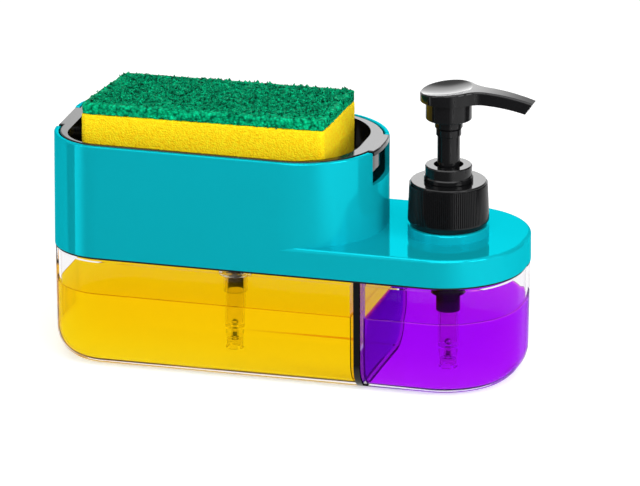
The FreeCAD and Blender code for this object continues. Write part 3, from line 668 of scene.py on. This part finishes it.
def makeThread():
    axis = centreOf("hand_pump_cylinder")
    clearSelection()
    bpy.ops.mesh.primitive_plane_add(size=1)
    piece = bpy.context.active_object
    piece.name = "neckThread"
    outline = [(thread["root"], -thread["rootWidth"] / 2), (thread["crest"], -thread["crestWidth"] / 2),
               (thread["crest"], thread["crestWidth"] / 2), (thread["root"], thread["rootWidth"] / 2)]
    ring = [piece.data.vertices[i] for i in piece.data.polygons[0].vertices]
    for vertex, (r, z) in zip(ring, outline):
        vertex.co = (r, 0, z)
    wind = piece.modifiers.new("wind", "SCREW")
    wind.axis = "Z"
    rise = thread["pitch"] * thread["turns"]
    wind.angle = fullTurn * thread["turns"]
    wind.screw_offset = rise
    wind.steps = thread["steps"]
    wind.render_steps = thread["steps"]
    applyAll(piece)
    foot = thread["root"] - thread["bury"]
    for vertex in piece.data.vertices:
        # both ends run out into the neck
        share = (vertex.co.z + thread["rootWidth"] / 2) / (rise + thread["rootWidth"])
        fade = max(0.0, min(1.0, thread["runOut"] * share, thread["runOut"] * (1 - share)))
        r = math.hypot(vertex.co.x, vertex.co.y)
        size = (foot + fade * (r - foot)) / r
        vertex.co = (vertex.co.x * size + axis.x, vertex.co.y * size + axis.y, vertex.co.z + thread["start"])
    mergePoints(piece, thread["merge"])
    bpy.ops.object.mode_set(mode="EDIT")
    bpy.ops.mesh.select_all(action="SELECT")
    bpy.ops.mesh.normals_make_consistent(inside=False)
    endEdit()
    smooth(piece, thread["smooth"])
    wear(piece, "teal_cover", "cover")
    print("thread:", len(piece.data.polygons), "faces")


makeFoam()
makePad()
makeFibres()
for soapName, soapLook in soaps.items():
    makeSoap(soapName, soapLook)
for springName, springLook in springs.items():
    makeSpring(springName, springLook)
makeThread()


# floor, lights, world and camera

studio = {"floorSize": 6.0, "floorDrop": 0.0002, "floorRoughness": 0.9, "floorColor": (0.8, 0.8, 0.8, 1),
          "floorLift": 0.52, "throughGlass": 1.1, "skyLight": 0.55}
black, white = (0, 0, 0, 1), (1, 1, 1, 1)


def backgroundRays(tree, seen, through):
    # how strongly the background shows: straight or mirrored, and through glass
    rays = addNode(tree, "ShaderNodeLightPath")
    first = addNode(tree, "ShaderNodeMath", {"operation": "MAXIMUM"})
    tree.links.new(rays.outputs["Is Camera Ray"], first.inputs[0])
    tree.links.new(rays.outputs["Is Glossy Ray"], first.inputs[1])
    plain = addNode(tree, "ShaderNodeMath", {"operation": "MULTIPLY"}, {1: seen})
    tree.links.new(first.outputs[0], plain.inputs[0])
    clear = addNode(tree, "ShaderNodeMath", {"operation": "MULTIPLY"}, {1: through})
    tree.links.new(rays.outputs["Is Transmission Ray"], clear.inputs[0])
    both = addNode(tree, "ShaderNodeMath", {"operation": "MAXIMUM"})
    tree.links.new(plain.outputs[0], both.inputs[0])
    tree.links.new(clear.outputs[0], both.inputs[1])
    return both.outputs[0]


def makeFloor():
    clearSelection()
    bpy.ops.mesh.primitive_plane_add(size=studio["floorSize"], location=(0, 0, -studio["floorDrop"]))
    floor = bpy.context.active_object
    floor.name = "floor"
    bpy.ops.object.transform_apply(location=True, rotation=True, scale=True)
    finish, tree, shader = newFinish("paleFloor")
    setSockets(shader, {"Roughness": studio["floorRoughness"], "Specular IOR Level": 0.0, "Emission Color": white})
    rays = addNode(tree, "ShaderNodeLightPath")
    tone = mixColors(tree, rays.outputs["Is Transmission Ray"], studio["floorColor"], black)
    tree.links.new(tone, shader.inputs["Base Color"])
    lift = backgroundRays(tree, studio["floorLift"], studio["throughGlass"])
    tree.links.new(lift, shader.inputs["Emission Strength"])
    floor.data.materials.append(finish)


def makeWorld():
    world = bpy.data.worlds.new("studioSky")
    bpy.context.scene.world = world
    world.use_nodes = True
    tree = world.node_tree
    sky = tree.nodes["Background"]
    sky.inputs["Color"].default_value = white
    level = addNode(tree, "ShaderNodeMapRange", values={"To Min": studio["skyLight"], "To Max": 1.0})
    tree.links.new(backgroundRays(tree, 1.0, 1.0), level.inputs["Value"])
    tree.links.new(level.outputs["Result"], sky.inputs["Strength"])


# cards that only show in gloss: dark ones on the floor in front and at the side, bright ones round the object
# soft: how much of the card fades out at its start, end, foot and head
cards = {
    "frontFlag": {"corners": ((-0.9, -1.3, 0.0006), (0.75, -1.3, 0.0006),
                              (0.22, -0.046, 0.0006), (-0.9, -0.046, 0.0006)),
                  "glow": (0.12, 0.2), "soft": (0.05, 0.12, 0.02, 0.02)},
    "leftCard": {"corners": ((-0.231, -0.107, 0.002), (-0.170, -0.173, 0.002),
                             (-0.170, -0.173, 0.14), (-0.231, -0.107, 0.14)),
                 "glow": (2.8, 0.6), "soft": (0.02, 0.7, 0.02, 0.3)},
    "rightCard": {"corners": ((0.178, -0.150, 0.002), (0.238, 0.045, 0.002),
                              (0.238, 0.045, 0.15), (0.178, -0.150, 0.15)),
                  "glow": (1.5, 1.5), "soft": (0.25, 0.3, 0.02, 0.4)},
    "sideFlag": {"corners": ((0.40, -0.02, 0.001), (0.30, 0.45, 0.001), (0.30, 0.45, 0.45), (0.40, -0.02, 0.45)),
                 "glow": (0.08, 0.08), "soft": (0.3, 0.2, 0.02, 0.3)},
    "backCard": {"corners": ((0.12, 0.5, 0.03), (-0.42, 0.5, 0.03), (-0.42, 0.5, 0.6), (0.12, 0.5, 0.6)),
                 "glow": (3.5, 3.5), "soft": (0.35, 0.5, 0.05, 0.3)},
    "topCard": {"corners": ((-0.6, -0.7, 0.9), (0.6, -0.7, 0.9), (0.6, 0.2, 0.9), (-0.6, 0.2, 0.9)),
                "glow": (4.5, 4.5), "soft": (0.2, 0.2, 0.2, 0.2)},
}


def makeCard(name, look):
    # one quad, its glow running from its first side to its second
    mesh = bpy.data.meshes.new(name)
    mesh.from_pydata(look["corners"], [], [(0, 1, 2, 3)])
    run = mesh.uv_layers.new(name="run")
    for loop, place in zip(run.data, ((0, 0), (1, 0), (1, 1), (0, 1))):
        loop.uv = place
    card = bpy.data.objects.new(name, mesh)
    bpy.context.scene.collection.objects.link(card)
    finish = bpy.data.materials.new(name)
    finish.use_nodes = True
    tree = finish.node_tree
    tree.nodes.clear()
    place = addNode(tree, "ShaderNodeUVMap", {"uv_map": "run"})
    apart = addNode(tree, "ShaderNodeSeparateXYZ")
    tree.links.new(place.outputs["UV"], apart.inputs[0])
    level = addNode(tree, "ShaderNodeMapRange", values={"To Min": look["glow"][0], "To Max": look["glow"][1]})
    tree.links.new(apart.outputs["X"], level.inputs["Value"])
    start, end, foot, head = look["soft"]
    fades = [fadeAt(tree, apart.outputs["X"], 0, start), fadeAt(tree, apart.outputs["X"], 1, 1 - end),
             fadeAt(tree, apart.outputs["Y"], 0, foot), fadeAt(tree, apart.outputs["Y"], 1, 1 - head)]
    mask = fades[0]
    for fade in fades[1:]:
        join = addNode(tree, "ShaderNodeMath", {"operation": "MULTIPLY"})
        tree.links.new(mask, join.inputs[0])
        tree.links.new(fade, join.inputs[1])
        mask = join.outputs[0]
    glow = addNode(tree, "ShaderNodeEmission")
    tree.links.new(level.outputs["Result"], glow.inputs["Strength"])
    blend = addNode(tree, "ShaderNodeMixShader")
    tree.links.new(mask, blend.inputs["Fac"])
    tree.links.new(addNode(tree, "ShaderNodeBsdfTransparent").outputs["BSDF"], blend.inputs[1])
    tree.links.new(glow.outputs["Emission"], blend.inputs[2])
    out = addNode(tree, "ShaderNodeOutputMaterial")
    tree.links.new(blend.outputs["Shader"], out.inputs["Surface"])
    mesh.materials.append(finish)
    for rays in ("camera", "diffuse", "transmission", "shadow", "volume_scatter"):
        setattr(card, "visible_" + rays, False)


lampAim = Vector((0, 0, 0.06))
lamps = {
    "keyLamp": {"at": (0.35, -0.9, 0.85), "size": (0.9, 0.6), "power": 7.0},
    "sideLamp": {"at": (0.9, -0.4, 0.45), "size": (0.4, 0.6), "power": 6.0},
    "leftLamp": {"at": (-0.7, -0.75, 0.30), "size": (0.4, 0.6), "power": 2.0},
}


def makeLamps():
    for name, look in lamps.items():
        data = bpy.data.lights.new(name, "AREA")
        data.shape = "RECTANGLE"
        data.size, data.size_y = look["size"]
        data.energy = look["power"]
        lamp = bpy.data.objects.new(name, data)
        bpy.context.scene.collection.objects.link(lamp)
        lamp.location = look["at"]
        lamp.rotation_euler = (lampAim - lamp.location).to_track_quat("-Z", "Y").to_euler()


shot = {"aim": Vector((13.17, -3.99, 59.92)) * mm, "azimuth": 15.67, "elevation": 18.58, "distance": 5.568,
        "lens": 665.65, "sensor": 36, "clipEnd": 50}


def makeCamera():
    data = bpy.data.cameras.new("camera")
    data.sensor_width = shot["sensor"]
    data.lens = shot["lens"]
    data.clip_end = shot["clipEnd"]
    camera = bpy.data.objects.new("camera", data)
    bpy.context.scene.collection.objects.link(camera)
    turn, lift = math.radians(shot["azimuth"]), math.radians(shot["elevation"])
    back = Vector((math.sin(turn) * math.cos(lift), -math.cos(turn) * math.cos(lift), math.sin(lift)))
    camera.location = shot["aim"] + back * shot["distance"]
    camera.rotation_euler = back.to_track_quat("Z", "Y").to_euler()
    bpy.context.scene.camera = camera


makeFloor()
makeWorld()
for cardName, cardLook in cards.items():
    makeCard(cardName, cardLook)
makeLamps()
makeCamera()
bpy.context.scene.view_settings.view_transform = "Standard"
print("studio ready")
